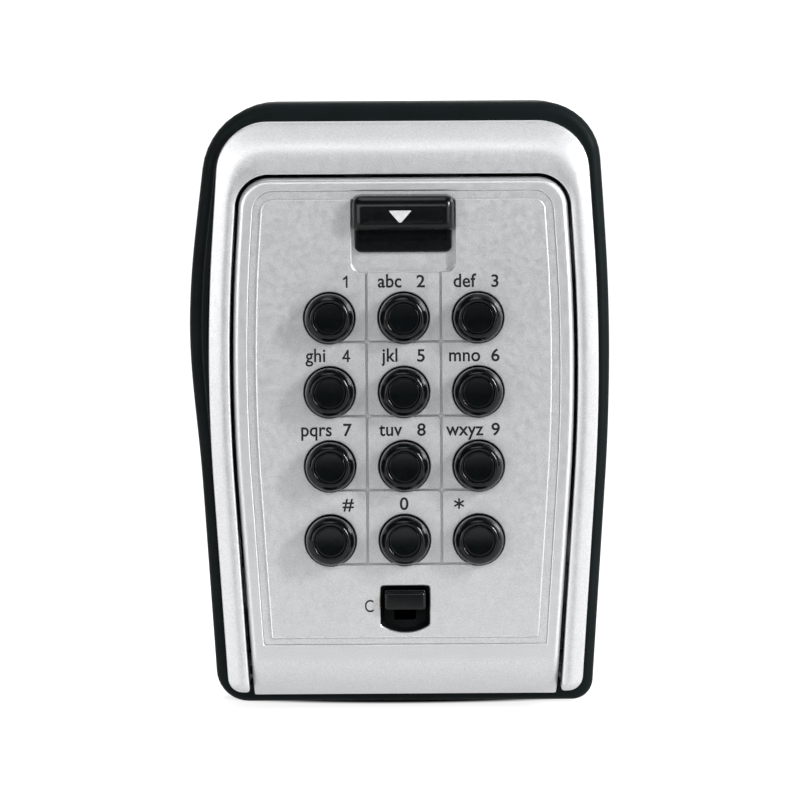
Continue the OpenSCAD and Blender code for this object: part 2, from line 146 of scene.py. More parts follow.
def corner(p, v, q, r, steps):
    """Points of the outline corner v between its neighbours p and q, rounded to radius r."""
    u, w = (Vector(p) - Vector(v)).normalized(), (Vector(q) - Vector(v)).normalized()
    half_angle = math.acos(max(-1.0, min(1.0, u.dot(w)))) / 2
    centre = Vector(v) + (u + w).normalized() * r / math.sin(half_angle)
    first = Vector(v) + u * r / math.tan(half_angle) - centre
    last = Vector(v) + w * r / math.tan(half_angle) - centre
    start = math.atan2(first.y, first.x)
    turn = (math.atan2(last.y, last.x) - start + math.pi) % (2 * math.pi) - math.pi
    angles = [start + turn * k / steps for k in range(steps + 1)]
    return [(centre.x + r * math.cos(a), centre.y + r * math.sin(a)) for a in angles]


def rounded(points, radii, steps):
    """An outline with each corner rounded to its own radius; 0 leaves a corner as one point."""
    out = []
    for i, v in enumerate(points):
        if radii[i]:
            out += corner(points[i - 1], v, points[(i + 1) % len(points)], radii[i], steps)
        else:
            out.append(v)
    return out


def spread(first, last, count):
    """count numbers from first to last."""
    return [first + (last - first) * k / (count - 1) for k in range(count)]


def bowed(half, bottom, top, r_bottom, r_top, pinch=0.0, rows=40, steps=10, left_radii=None):
    """An outline with bowed sides, anticlockwise from the lower right.

    pinch draws the sides in towards the foot. left_radii gives the left side's own (bottom, top)
    corner radii. The same rows and steps give the same number of points, so outlines can be joined.
    """
    corner_room, corner_spare = 1.2, 0.1  # the flanks' points keep clear of the corners

    def half_at(z):
        below = max(0.0, WIDE_Z - BOW_REACH - z) / (WIDE_Z - BOW_REACH - bottom)
        return side(half, z) - pinch * below

    left_bottom, left_top = left_radii or (r_bottom, r_top)
    lowest = bottom + corner_room * max(r_bottom, left_bottom) + corner_spare
    highest = top - corner_room * max(r_top, left_top) - corner_spare
    heights = [bottom] + spread(lowest, highest, rows) + [top]
    radii = [r_bottom] + [0] * rows + [r_top, left_top] + [0] * rows + [left_bottom]
    right = [(half_at(z), z) for z in heights]
    left = [(-x, z) for x, z in reversed(right)]
    return rounded(right + left, radii, steps)


def box_outline(left, right, bottom, top, r_bottom, r_top=None, steps=8):
    """A rectangle with rounded corners; the upper ones may have their own radius."""
    r_top = r_bottom if r_top is None else r_top
    points = [(right, bottom), (right, top), (left, top), (left, bottom)]
    return rounded(points, [r_bottom, r_top, r_top, r_bottom], steps)


def blend(a, b, t):
    """The outline a fraction t of the way from a to b."""
    return [((1 - t) * x0 + t * x1, (1 - t) * z0 + t * z1) for (x0, z0), (x1, z1) in zip(a, b)]


def at_depth(outline, depth):
    """A flat outline placed at one depth."""
    return [(x, depth, z) for x, z in outline]


def arc(r, first, last, steps):
    """(r cos a, r sin a) for a from first to last degrees."""
    angles = [math.radians(a) for a in spread(first, last, steps + 1)]
    return [(r * math.cos(a), r * math.sin(a)) for a in angles]


# ------------------------ meshes

WELD_M = 1e-7


def new_object(name, bm, sharp=35):
    """A smooth-shaded object made from bm, with edges sharper than sharp degrees kept crisp."""
    bmesh.ops.remove_doubles(bm, verts=bm.verts, dist=WELD_M)
    bmesh.ops.recalc_face_normals(bm, faces=bm.faces)
    mesh = bpy.data.meshes.new(name)
    bm.to_mesh(mesh)
    bm.free()
    obj = bpy.data.objects.new(name, mesh)
    bpy.context.scene.collection.objects.link(obj)
    shade(obj, sharp)
    return obj


def shade(obj, sharp=35):
    """Smooth shading, with edges sharper than sharp degrees kept crisp."""
    for face in obj.data.polygons:
        face.use_smooth = True
    obj.data.set_sharp_from_angle(angle=math.radians(sharp))


def skin(bm, rings, closed=False):
    """Quads between successive rings.

    closed joins the last ring to the first; otherwise the ends are closed flat.
    """
    rows = [[bm.verts.new((x * MM, -d * MM, z * MM)) for x, d, z in ring] for ring in rings]
    count = len(rows[0])
    pairs = list(zip(rows, rows[1:])) + ([(rows[-1], rows[0])] if closed else [])
    for a, b in pairs:
        for i in range(count):
            j = (i + 1) % count
            bm.faces.new((a[i], a[j], b[j], b[i]))
    if not closed:
        bm.faces.new(rows[0][::-1])
        bm.faces.new(rows[-1])


def loft(name, rings, closed=False, sharp=35):
    """An object skinned over rings of (x, depth, z) points."""
    bm = bmesh.new()
    skin(bm, rings, closed)
    return new_object(name, bm, sharp)


def circle_ring(x, z, r, depth, sides):
    """A circle of points about the depth axis through (x, z)."""
    turn = 2 * math.pi / sides
    return [(x + r * math.cos(turn * k), depth, z + r * math.sin(turn * k)) for k in range(sides)]


def turned(name, x, z, profile, sides=72, sharp=35):
    """A turned piece about the depth axis through (x, z), with flat ends.

    profile holds (radius, depth) pairs.
    """
    return loft(name, [circle_ring(x, z, r, depth, sides) for r, depth in profile], sharp=sharp)


def join(name, objects, sharp=35):
    """One object from several closed ones."""
    bm = bmesh.new()
    for obj in objects:
        bm.from_mesh(obj.data)
        bpy.data.objects.remove(obj)
    return new_object(name, bm, sharp)


def carve(obj, cutters, operation="DIFFERENCE", sharp=35):
    """obj with each cutter taken away from it, or added to it."""
    for cutter in cutters:
        step = obj.modifiers.new("carve", "BOOLEAN")
        step.operation, step.object, step.solver = operation, cutter, "EXACT"
    graph = bpy.context.evaluated_depsgraph_get()
    mesh = bpy.data.meshes.new_from_object(obj.evaluated_get(graph))
    obj.modifiers.clear()
    obj.data = mesh
    for cutter in cutters:
        bpy.data.objects.remove(cutter)
    shade(obj, sharp)
    return obj


def place(obj, material, body, slot, *nodes):
    """obj gets its material, rides on a body and stands for CAD nodes."""
    obj.data.materials.clear()
    obj.data.materials.append(material)
    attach(obj, body)
    if nodes:
        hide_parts(*nodes)


# ------------------------ materials

# Nearly all of a noise texture's values lie between these
NOISE_LOW, NOISE_HIGH = 0.3, 0.7


def map_range(tree, value, source, target=(0.0, 1.0), smooth=False):
    """A value carried from the source range to the target range."""
    node = tree.nodes.new("ShaderNodeMapRange")
    if smooth:
        node.interpolation_type = "SMOOTHSTEP"
    node.inputs["From Min"].default_value, node.inputs["From Max"].default_value = source
    node.inputs["To Min"].default_value, node.inputs["To Max"].default_value = target
    tree.links.new(value, node.inputs["Value"])
    return node.outputs["Result"]


class Surface:
    """A Principled material with a few procedural helpers.

    Texture scales are in waves per millimetre.
    """

    def __init__(self, name, roughness=0.5, metallic=0.0, **sockets):
        self.material = bpy.data.materials.new(name)
        self.material.use_nodes = True
        self.tree = self.material.node_tree
        self.shader = self.tree.nodes["Principled BSDF"]
        self.shader.inputs["Roughness"].default_value = roughness
        self.shader.inputs["Metallic"].default_value = metallic
        for socket, value in sockets.items():
            self.shader.inputs[socket.replace("_", " ")].default_value = value
        self.place = self.tree.nodes.new("ShaderNodeTexCoord").outputs["Object"]
        self.bump = None

    def noise(self, per_mm, detail, stretch=(1, 1, 1)):
        where = self.tree.nodes.new("ShaderNodeMapping")
        where.inputs["Scale"].default_value = [per_mm / MM * s for s in stretch]
        self.tree.links.new(self.place, where.inputs["Vector"])
        texture = self.tree.nodes.new("ShaderNodeTexNoise")
        texture.inputs["Scale"].default_value = 1.0
        texture.inputs["Detail"].default_value = detail
        self.tree.links.new(where.outputs["Vector"], texture.inputs["Vector"])
        return texture.outputs["Fac"]

    def ramp(self, value, stops):
        """Colours or greys along value; stops are (position, colour)."""
        node = self.tree.nodes.new("ShaderNodeValToRGB")
        self.tree.links.new(value, node.inputs["Fac"])
        points = node.color_ramp.elements
        for k, (position, colour) in enumerate(stops):
            point = points[k] if k < 2 else points.new(position)
            point.position = position
            rgb = colour if isinstance(colour, tuple) else (colour,) * 3
            point.color = (*rgb, 1)
        return node.outputs["Color"]

    def between(self, noise, dark, light):
        """Colours or greys from dark to light over the range of a noise."""
        return self.ramp(noise, [(NOISE_LOW, dark), (NOISE_HIGH, light)])

    def multiply(self, a, b):
        node = self.tree.nodes.new("ShaderNodeMix")
        node.data_type, node.blend_type = "RGBA", "MULTIPLY"
        node.inputs["Factor"].default_value = 1.0
        self.tree.links.new(a, node.inputs["A"])
        self.tree.links.new(b, node.inputs["B"])
        return node.outputs["Result"]

    def colour(self, value):
        self.tree.links.new(value, self.shader.inputs["Base Color"])

    def rough(self, noise, low, high):
        """Roughness from low to high over the range of a noise."""
        value = map_range(self.tree, noise, (NOISE_LOW, NOISE_HIGH), (low, high))
        self.tree.links.new(value, self.shader.inputs["Roughness"])

    def relief(self, value, height, strength):
        """Adds bumps of about height millimetres."""
        node = self.tree.nodes.new("ShaderNodeBump")
        node.inputs["Distance"].default_value = height * MM
        node.inputs["Strength"].default_value = strength
        self.tree.links.new(value, node.inputs["Height"])
        if self.bump:
            self.tree.links.new(self.bump, node.inputs["Normal"])
        self.bump = node.outputs["Normal"]
        self.tree.links.new(self.bump, self.shader.inputs["Normal"])


def silver_paint():
    """Bright metallic paint with fine flake and orange peel."""
    s = Surface("silver_paint", metallic=0.8)
    flake = s.between(s.noise(6.0, 1.0), (0.41, 0.414, 0.422), (0.557, 0.561, 0.569))
    cloud = s.between(s.noise(0.05, 3.0), 0.96, 1.0)
    s.colour(s.multiply(flake, cloud))
    s.rough(s.noise(0.8, 3.0), 0.36, 0.44)
    s.relief(s.noise(0.9, 2.0), 0.006, 0.35)
    s.relief(s.noise(5.0, 1.0), 0.003, 0.35)
    return s.material


def mottled(name, grain, dark, light, wear, low, high, bumps, height, strength, **sockets):
    """A material whose colour, roughness and relief each follow a noise.

    grain, wear and bumps are those noises' arguments: waves per millimetre, detail and stretch.
    """
    s = Surface(name, **sockets)
    s.colour(s.between(s.noise(*grain), dark, light))
    s.rough(s.noise(*wear), low, high)
    s.relief(s.noise(*bumps), height, strength)
    return s.material


def gloss_black(name, low, high):
    """Moulded black plastic, with its least and greatest roughness."""
    return mottled(name, (0.4, 3.0), (0.0008, 0.0014, 0.0016), (0.0015, 0.0023, 0.0026),
                   (1.2, 3.0), low, high, (1.5, 2.0), 0.004, 0.3, Specular_IOR_Level=0.22)


def ink(name, dark, light):
    """Printing ink between two colours."""
    return mottled(name, (1.0, 3.0), dark, light, (3.0, 2.0), 0.42, 0.56,
                   (4.0, 2.0), 0.003, 0.3, Specular_IOR_Level=0.2)


def floor_paper():
    """Pale paper that glows softly round the safe but not under it, and darkens far in front."""
    dark_y, pale_y = -0.4, -0.2  # in metres, like the shadow's
    shadow_x, shadow_y = 0.034, 0.013  # half widths of an ellipse under the safe, from the wall on
    shadow_from, shadow_to, glow_strength = 0.75, 1.15, 0.88

    s = Surface("floor_paper", roughness=0.85)
    split = s.tree.nodes.new("ShaderNodeSeparateXYZ")
    s.tree.links.new(s.place, split.inputs["Vector"])
    near = map_range(s.tree, split.outputs["Y"], (dark_y, pale_y), smooth=True)
    grain = s.between(s.noise(0.002, 3.0), 0.96, 1.0)
    s.colour(s.multiply(s.ramp(near, [(0.0, 0.08), (1.0, 0.22)]), grain))

    ellipse = s.tree.nodes.new("ShaderNodeVectorMath")
    ellipse.operation = "MULTIPLY_ADD"
    ellipse.inputs[1].default_value = (1 / shadow_x, 1 / shadow_y, 0)
    ellipse.inputs[2].default_value = (0, 1.0, 0)
    s.tree.links.new(s.place, ellipse.inputs[0])
    away = s.tree.nodes.new("ShaderNodeVectorMath")
    away.operation = "LENGTH"
    s.tree.links.new(ellipse.outputs["Vector"], away.inputs[0])
    lit = map_range(s.tree, away.outputs["Value"], (shadow_from, shadow_to), (0.0, glow_strength),
                    smooth=True)
    glow = s.tree.nodes.new("ShaderNodeMath")
    glow.operation = "MULTIPLY"
    s.tree.links.new(near, glow.inputs[0])
    s.tree.links.new(lit, glow.inputs[1])
    s.tree.links.new(glow.outputs[0], s.shader.inputs["Emission Strength"])
    s.shader.inputs["Emission Color"].default_value = (1, 1, 1, 1)
    return s.material


SILVER = silver_paint()
CASTING = mottled("casting_paint", (1.5, 4.0), (0.20, 0.205, 0.21), (0.27, 0.275, 0.28),
                  (0.6, 3.0), 0.45, 0.6, (1.6, 4.0), 0.05, 0.5, metallic=0.35)
ZINC = mottled("bare_zinc", (0.7, 5.0), (0.40, 0.41, 0.42), (0.55, 0.56, 0.57),
               (0.5, 4.0), 0.38, 0.6, (2.5, 4.0), 0.02, 0.5, metallic=0.9)
BUMPER_BLACK = mottled("bumper_black", (0.12, 4.0), (0.0018, 0.0038, 0.004), (0.003, 0.0056, 0.006),
                       (0.7, 4.0), 0.5, 0.64, (2.6, 3.0), 0.03, 0.6, Specular_IOR_Level=0.065)
MATTE_BLACK = mottled("matte_black", (0.3, 4.0), (0.001, 0.0013, 0.0015), (0.002, 0.0024, 0.0027),
                      (0.9, 3.0), 0.45, 0.6, (3.0, 3.0), 0.02, 0.5, Specular_IOR_Level=0.05)
BUTTON_BLACK = gloss_black("button_black", 0.13, 0.19)
LATCH_BLACK = gloss_black("latch_black", 0.2, 0.27)
STEEL = mottled("plated_steel", (0.5, 4.0), (0.50, 0.505, 0.50), (0.66, 0.665, 0.66),
                (0.5, 5.0, (1, 1, 12)), 0.28, 0.46, (0.6, 4.0, (1, 1, 14)), 0.006, 0.5,
                metallic=1.0)
# Near-black steel: the bolt plate's own finish, and painted shade on the hinge pins, which keeps
# the gap at the door's foot dark.
BLACK_STEEL_AND_SHADE = mottled("black_steel_and_painted_shade", (0.5, 4.0), (0.008, 0.0085, 0.01), (0.016, 0.017, 0.019),
                     (0.5, 5.0, (1, 1, 10)), 0.42, 0.6, (0.6, 4.0, (1, 1, 12)), 0.006, 0.5,
                     metallic=0.7)
BRASS = mottled("turned_brass", (0.6, 4.0), (0.60, 0.40, 0.15), (0.76, 0.56, 0.26),
                (0.8, 4.0), 0.24, 0.42, (1.5, 4.0, (1, 6, 1)), 0.006, 0.5, metallic=1.0)
LEGEND_INK = ink("legend_ink", (0.004, 0.005, 0.006), (0.008, 0.009, 0.011))
ARROW_INK = ink("arrow_ink", (0.34, 0.355, 0.355), (0.43, 0.445, 0.445))

# ------------------------ bumper


def make_bumper():
    """The soft black sleeve: a rounded outer wall, a front ring and a thin collar on the frame.

    It fits loosely: its left corners are softer and its left flank bulges away from the frame.
    """
    back_r, front_r, fillet, lip_r = 0.8, 2.0, 0.5, 0.35
    corner_bottom, corner_top = 4.2, 12.0
    soft_bottom, soft_top = 6.5, 14.0
    collar_wall = STEP_IN - COLLAR_INSET - 0.1
    held_depth, held_half = 8, 30  # the sleeve is loose beyond these, from the wall and sideways
    least_bulge, swell, swell_z, reach_up, reach_down = 0.1, 1.6, 18.0, 46.0, 34.0
    right_least, right_more, right_reach = 0.18, 0.25, 40
    notch_top, notch_r = -50.0, 0.3

    def outer(inset):
        return bowed(BUMPER.right - inset, BUMPER.bottom + inset, BUMPER.top - inset,
                     corner_bottom - inset, corner_top - inset,
                     left_radii=(soft_bottom - inset, soft_top - inset))

    def collar(inset):
        inset += COLLAR_INSET
        return bowed(FRAME.right - inset, FRAME.bottom + inset, FRAME.top - inset,
                     FRAME_FOOT_R - inset, FRAME_CORNER_R - inset)

    rings = [at_depth(outer(back_r - s), back_r - c) for c, s in arc(back_r, 0, 90, 4)]
    rings += [at_depth(outer(front_r - c), BUMPER_FRONT - front_r + s)
              for c, s in arc(front_r, 0, 90, 10)]
    rings += [at_depth(collar(s - fillet), BUMPER_FRONT + fillet - c)
              for c, s in arc(fillet, 0, 90, 6)]
    rings += [at_depth(collar(lip_r - c), BUMPER.front - lip_r + s)
              for c, s in arc(lip_r, 0, 90, 4)]
    rings += [at_depth(collar(collar_wall), BUMPER.front),
              at_depth(collar(collar_wall), BUMPER.back)]

    def loose(x, depth, z):
        off_wall = min(1.0, depth / held_depth)
        if x > 0:
            bulge = right_least + right_more * max(0.0, min(1.0, z / right_reach))
            return x + off_wall * bulge * min(1.0, x / held_half), depth, z
        away = min(1.0, (z - swell_z) / reach_up if z > swell_z else (swell_z - z) / reach_down)
        bulge = least_bulge + swell * (1 + math.cos(math.pi * away)) / 2
        return x - off_wall * bulge * min(1.0, -x / held_half), depth, z

    rings = [[loose(*point) for point in ring] for ring in rings]
    obj = loft("bumper_moulding", rings, closed=True)
    foot = side(OPENING_HALF, DOOR.bottom)
    carve(obj, [block(-foot, foot, BUMPER_FRONT, BUMPER.front + 1, BUMPER.bottom - 1, notch_top,
                      notch_r)])
    place(obj, BUMPER_BLACK, "wall_body", "bumper_black", "bumper")


# ------------------------ frame


def ray_to(outline, origin, direction):
    """Where a ray from origin meets a polyline."""
    parallel, slack = 1e-9, 1e-6
    for (x0, z0), (x1, z1) in zip(outline, outline[1:]):
        ex, ez = x1 - x0, z1 - z0
        cross = direction[0] * ez - direction[1] * ex
        if abs(cross) < parallel:
            continue
        t = ((x0 - origin[0]) * ez - (z0 - origin[1]) * ex) / cross
        s = ((x0 - origin[0]) * direction[1] - (z0 - origin[1]) * direction[0]) / cross
        if t > 0 and -slack <= s <= 1 + slack:
            return origin[0] + direction[0] * t, origin[1] + direction[1] * t
    raise ValueError("the ray misses the outline")


def frame_stations():
    """(outer point, inner point, drop of the front) from the right foot to the top's middle."""
    foot_r, inner_foot_r, front_r = 2.9, 0.7, 1.5  # of the rounding at the leg's foot
    first_plain, leg_rows, corner_rows, band_rows, band_start = 4.2, 56, 25, 12, 0.96

    def roll(r, h):
        return r - math.sqrt(r * r - (r - h) ** 2) if h < r else 0.0

    centre_z = OPENING_TOP - OPENING_R
    centre_x = side(OPENING_HALF, centre_z) - OPENING_R
    foot = [0.0, 0.06, 0.16, 0.3, 0.5, 0.75, 1.05, 1.4, 1.85, 2.4, 2.9]
    heights = [FRAME.bottom + h for h in foot]
    heights += spread(FRAME.bottom + first_plain, centre_z - 1.0, leg_rows)
    stations = []
    for z in heights:
        h = z - FRAME.bottom
        outer = (side(FRAME.right, z) - roll(foot_r, h), z)
        inner = (side(OPENING_HALF, z) + roll(inner_foot_r, h), z)
        stations.append((outer, inner, roll(front_r, h)))
    rim = bowed(FRAME.right, FRAME.bottom, FRAME.top, FRAME_FOOT_R, FRAME_CORNER_R, steps=40)
    for a in spread(0, 90, corner_rows):
        way = (math.cos(math.radians(a)), math.sin(math.radians(a)))
        inner = (centre_x + OPENING_R * way[0], centre_z + OPENING_R * way[1])
        stations.append((ray_to(rim, (centre_x, centre_z), way), inner, 0.0))
    for x in spread(centre_x * band_start, 0, band_rows):
        stations.append(((x, FRAME.top), (x, OPENING_TOP), 0.0))
    return stations


def frame_section(outer, inner, drop):
    """The frame's closed cross-section between its outer and inner edges.

    The front slopes back on both sides of a ridge. broad goes from 0 on the legs to 1 on the top
    band, where the inner slope has faded out.
    """
    width = math.dist(outer, inner)
    broad = min(1.0, max(0.0, (width - LEG_W) / (FRAME.top - OPENING_TOP - LEG_W)))
    edge_r, inner_r = min(0.2, 0.3 * width), min(0.28, 0.2 * width)
    ridge, outer_slope, outer_ease = (0.62 - 0.12 * broad) * width, 0.29, 0.5 + 0.9 * broad
    valley, inner_slope, inner_ease = 0.74 * width, 0.30 * (1 - broad), 0.3

    def ramp_up(u, ease):
        return (u + math.hypot(u, ease)) / 2

    def front(t):
        sunk = drop + outer_slope * ramp_up(ridge - t, outer_ease)
        sunk += inner_slope * ramp_up(t - valley, inner_ease)
        if t < edge_r:
            sunk += edge_r - math.sqrt(max(0.0, edge_r ** 2 - (edge_r - t) ** 2))
        if width - t < inner_r:
            sunk += inner_r - math.sqrt(max(0.0, inner_r ** 2 - (inner_r - width + t) ** 2))
        return FRAME.front - sunk

    across = [edge_r - c for c, s in arc(edge_r, 0, 80, 8)]
    across += spread(edge_r, width - inner_r, 16)
    across += [width - inner_r + s for c, s in arc(inner_r, 10, 90, 7)]
    step = min(STEP_IN, 0.4 * width)
    points = [(step, FRAME.back), (step, FRAME_STEP), (0.0, FRAME_STEP)]
    points += [(t, front(t)) for t in across]
    points += [(width, FRAME.back)]
    ux, uz = (inner[0] - outer[0]) / width, (inner[1] - outer[1]) / width
    return [(outer[0] + ux * t, depth, outer[1] + uz * t) for t, depth in points]


def make_frame():
    """The silver upside-down U, swept from foot to foot, with the hooks' pocket and two lugs."""
    pocket_half, pocket_up, pocket_depths, pocket_r = 14, 3.6, (37.0, 41.5), 0.6
    lug_x, lug_z, lug_depths, lug_r = 26.2, -36, (28.0, 34.0), 1.6
    lug_bottom, lug_top = -40.2, -31.8
    half = frame_stations()
    mirrored = [((-o[0], o[1]), (-i[0], i[1]), drop) for o, i, drop in reversed(half[:-1])]
    sections = [frame_section(*station) for station in half + mirrored]
    body = loft("front_frame_casting", sections)
    outline = box_outline(-pocket_half, pocket_half, OPENING_TOP - 1, OPENING_TOP + pocket_up,
                          pocket_r)
    carve(body, [loft("pocket", [at_depth(outline, depth) for depth in pocket_depths])])
    lugs = []
    for s in (-1, 1):
        near, far = sorted((s * lug_x, s * (side(OPENING_HALF, lug_z) + 0.6)))
        outline = box_outline(near, far, lug_bottom, lug_top, lug_r)
        lugs.append(loft("lug", [at_depth(outline, depth) for depth in lug_depths]))
    place(body, SILVER, "wall_body", "silver_paint", "front_frame")
    # The lugs take the darker casting grey instead of the silver: partly their own unpainted
    # casting, partly painted shade so the gap beside the door stays dark.
    place(join("front_frame_lugs", lugs), CASTING, "wall_body", "body_casting")


# ------------------------ door


def lip(z):
    """Depth of the door's front at height z, which the rounded lower edge brings back."""
    fall = DOOR.bottom + LIP_R - z
    if fall <= 0:
        return DOOR.front
    return DOOR.front - LIP_R + math.sqrt(max(0.0, LIP_R ** 2 - fall ** 2))


def door_outline(inset, bottom_inset=0.0):
    """The door's own outline, with the inset along its foot given separately."""
    return bowed(DOOR.right - inset, DOOR.bottom + bottom_inset, DOOR.top - inset, DOOR_FOOT_R,
                 DOOR_R - inset, DOOR_PINCH, rows=DOOR_ROWS)


def line1_outline(inset, foot_inset=None):
    """The panel's outer line; foot_inset is the inset along the foot where it differs."""
    grow, foot_r, top_r = 0.1, 0.3, 4.0
    foot = FASCIA.bottom - grow + (inset if foot_inset is None else foot_inset)
    return bowed(FASCIA.right + grow - inset, foot, FASCIA.top + grow - inset, foot_r,
                 top_r - inset, rows=DOOR_ROWS)


def door_skin():
    """The door's outer skin: skirt, rounded front edges, band round the panel and its pocket."""
    edge_r, pocket_d = 1.15, 0.24
    band_rings = 22
    pocket_edge = [(-0.25, 0.01), (-0.15, 0.05), (-0.07, 0.11), (0.0, pocket_d)]

    def ring(outline, sunk):
        return [(x, min(DOOR.front, lip(z)) - sunk, z) for x, z in outline]

    inner = bowed(DOOR.right - DOOR_SKIRT_T, BAR_TOP, DOOR.top - DOOR_SKIRT_T, DOOR_FOOT_R,
                  DOOR_R - DOOR_SKIRT_T, rows=DOOR_ROWS)
    rings = [at_depth(inner, DOOR_WALL_BACK), at_depth(inner, DOOR_SKIRT_BACK)]
    rings.append([(x, min(DOOR_SKIRT_BACK, lip(z) - DOOR_SKIRT_T), z)
                  for x, z in door_outline(0.0)])
    rings += [ring(door_outline(edge_r - c, 0.3 * (edge_r - c)), edge_r - s)
              for c, s in arc(edge_r, 0, 90, 8)]
    start, end = door_outline(edge_r, 0.3 * edge_r), line1_outline(-0.35)
    rings += [ring(blend(start, end, t), 0.0) for t in spread(0, 1, band_rings)[1:]]
    rings += [at_depth(line1_outline(inset), DOOR.front - sunk) for inset, sunk in pocket_edge]
    rings.append(at_depth(line1_outline(0.0), DOOR_FLOOR))
    return loft("door_casting", rings)


def door_bar():
    """The thick bar along the door's foot, which carries the hinge pins."""
    back, inset, side_inset = 32.5, 0.8, 0.03
    foot = DOOR.bottom + 0.05
    section = [(back, BAR_TOP), (back, foot), (DOOR.front - LIP_R, foot)]
    heights = spread(foot + 0.4, DOOR.bottom + LIP_R, 10)
    section += [(lip(z) - inset, z) for z in heights] + [(DOOR_WALL_BACK + 1.0, BAR_TOP)]
    ends = []
    for s in (-1, 1):
        ends.append([(s * (side(DOOR.right, z) - DOOR_PINCH - side_inset), depth, z)
                     for depth, z in section])
    return loft("bar", ends)


def cylinder_x(name, r, half_length, depth, z, sides=40):
    """A cylinder along x."""
    circle = arc(r, 0, 360, sides)[:-1]
    return loft(name, [[(x, depth + c, z + s) for c, s in circle]
                       for x in (-half_length, half_length)])


def hole(x, z, r, back, front, flare):
    """A round cutter that widens by flare over its last part."""
    profile = [(r, back), (r, front - flare), (r + flare, front), (r + flare, front + 1)]
    return turned("hole", x, z, profile, sides=64)


def button_holes(back, front, flare):
    """One cutter for the twelve button bores."""
    return join("holes", [hole(b.x, b.z, HOLE_R, back, front, flare) for b in BUTTONS.values()])


def block(left, right, back, front, bottom, top, r=0.25):
    """A block whose corners are rounded as seen from the front."""
    outline = box_outline(left, right, bottom, top, r, steps=4)
    return loft("block", [at_depth(outline, back), at_depth(outline, front)])


def make_door():
    """The silver door: skin and foot bar in one, with its bores, slots, windows and four posts."""
    stem_half, stem_top = 4.3, 39.3  # of the window that the latch's stem goes through
    hook_x, hook_half, hook_back, hook_front, slot_deep = 9.0, 2.8, 37, 40.7, 3.2
    relief_half, relief_bottom, relief_top, relief_r = 21, -53.4, -46.4, 1.2  # in the bar's back
    pin_r = 1.56
    post_x, post_zs, post_r, post_back = 21.8, (38.2, -39.6), 2.8, 35.8

    body = door_skin()
    carve(body, [door_bar()], "UNION")
    hinge = frame_joint("door_hinge")["pos_m"]
    slots = [block(s * hook_x - hook_half, s * hook_x + hook_half, hook_back, hook_front,
                   DOOR.top - slot_deep, DOOR.top + 1) for s in (-1, 1)]
    cutters = [button_holes(DOOR_WALL_BACK - 2, DOOR_FLOOR + 0.4, 0.0), join("slots", slots),
               block(-stem_half, stem_half, DOOR_WALL_BACK - 1, DOOR_FLOOR + 1, LEVER.bottom,
                     stem_top),
               clear_cutter(DOOR_WALL_BACK - 1, DOOR_FLOOR + 1, 0.0),
               block(-relief_half, relief_half, 30, DOOR_WALL_BACK, relief_bottom, relief_top,
                     relief_r),
               cylinder_x("bore", pin_r, 40, -hinge[1] / MM, hinge[2] / MM)]
    carve(body, cutters)
    post = [(post_r, post_back), (post_r, DOOR_WALL_BACK + 0.3)]
    posts = [turned("post", s * post_x, z, post, sides=40) for s in (-1, 1) for z in post_zs]
    body = join("door_casting", [body] + posts)
    place(body, SILVER, "door", "silver_paint", "door_shell")


def frame_joint(name):
    """A joint of the CAD frame."""
    for joint in frame["joints"]:
        if joint["name"] == name:
            return joint
    raise ValueError(name)


# ------------------------ keypad panel


def clear_outline(inset):
    """The clear slide's recess: straight sides and a bowed lower edge."""
    half = GUIDE.right + 0.1 - inset
    top, foot = GUIDE.top + 0.1 - inset, GUIDE.bottom - 0.1 + inset
    drop = 1.5
    bow = (half * half + drop * drop) / (2 * drop)
    reach = math.degrees(math.asin(half / bow))
    curve = [(x, foot + bow + z) for x, z in arc(bow, -90 - reach, -90 + reach, 14)]
    inner = curve[1:-1]
    points = inner + [curve[-1], (half, top), (-half, top), curve[0]]
    return rounded(points, [0] * len(inner) + [0.7, 0.7, 0.7, 0.7], steps=6)


def clear_cutter(back, front, flare):
    """A cutter for the clear slide's recess that widens by flare over its last part."""
    rings = [at_depth(clear_outline(0.0), back), at_depth(clear_outline(0.0), front - flare),
             at_depth(clear_outline(-flare), front), at_depth(clear_outline(-flare), front + 1)]
    if not flare:
        rings = [rings[0], rings[3]]
    return loft("clear_cutter", rings)


def latch_cutter(back, front, flare):
    """A cutter for the latch's opening that widens by flare over its last part."""
    corner_r = 1.9

    def ring(grow, depth):
        return at_depth(box_outline(-LATCH_HALF - grow, LATCH_HALF + grow, LATCH_BOTTOM - grow,
                                    LATCH_TOP + grow, corner_r), depth)

    return loft("latch_cutter", [ring(0.0, back), ring(0.0, front - flare), ring(flare, front),
                                 ring(flare, front + 1)])


def groove_cutter():
    """The grooves between the keys: a thin slab less a tapered pillar for each key's cell."""
    depth, half_w, slope, reach, line_drop, cell_r = 0.9, 0.2, 0.05, 13.2, 4.75, 0.5
    beyond = 2  # a pillar goes past the slab by this where no groove runs
    line_z = [BUTTONS[key].z - line_drop for key in ("1", "4", "7", "hash")]
    top = LATCH_BOTTOM + 0.1
    slab = block(-reach, reach, PANEL - depth, PANEL + 0.4, line_z[-1] - half_w - slope,
                 top + half_w)
    levels = ((0.0, PANEL - depth - 0.2), (0.0, PANEL - depth), (slope, PANEL),
              (slope, PANEL + 0.6))
    pillars = []
    for row, low in enumerate(line_z):
        high = top if row == 0 else line_z[row - 1]
        for column in (-1, 0, 1):
            left, right = (column - 0.5) * PITCH + half_w, (column + 0.5) * PITCH - half_w
            left = -reach - beyond if column < 0 else left
            right = reach + beyond if column > 0 else right
            high_edge = high + beyond if row == 0 and column else high - half_w
            pillars.append(loft("pillar", [
                at_depth(box_outline(left + shrink, right - shrink, low + half_w + shrink,
                                     high_edge - shrink, cell_r), at) for shrink, at in levels]))
    return carve(slab, pillars)


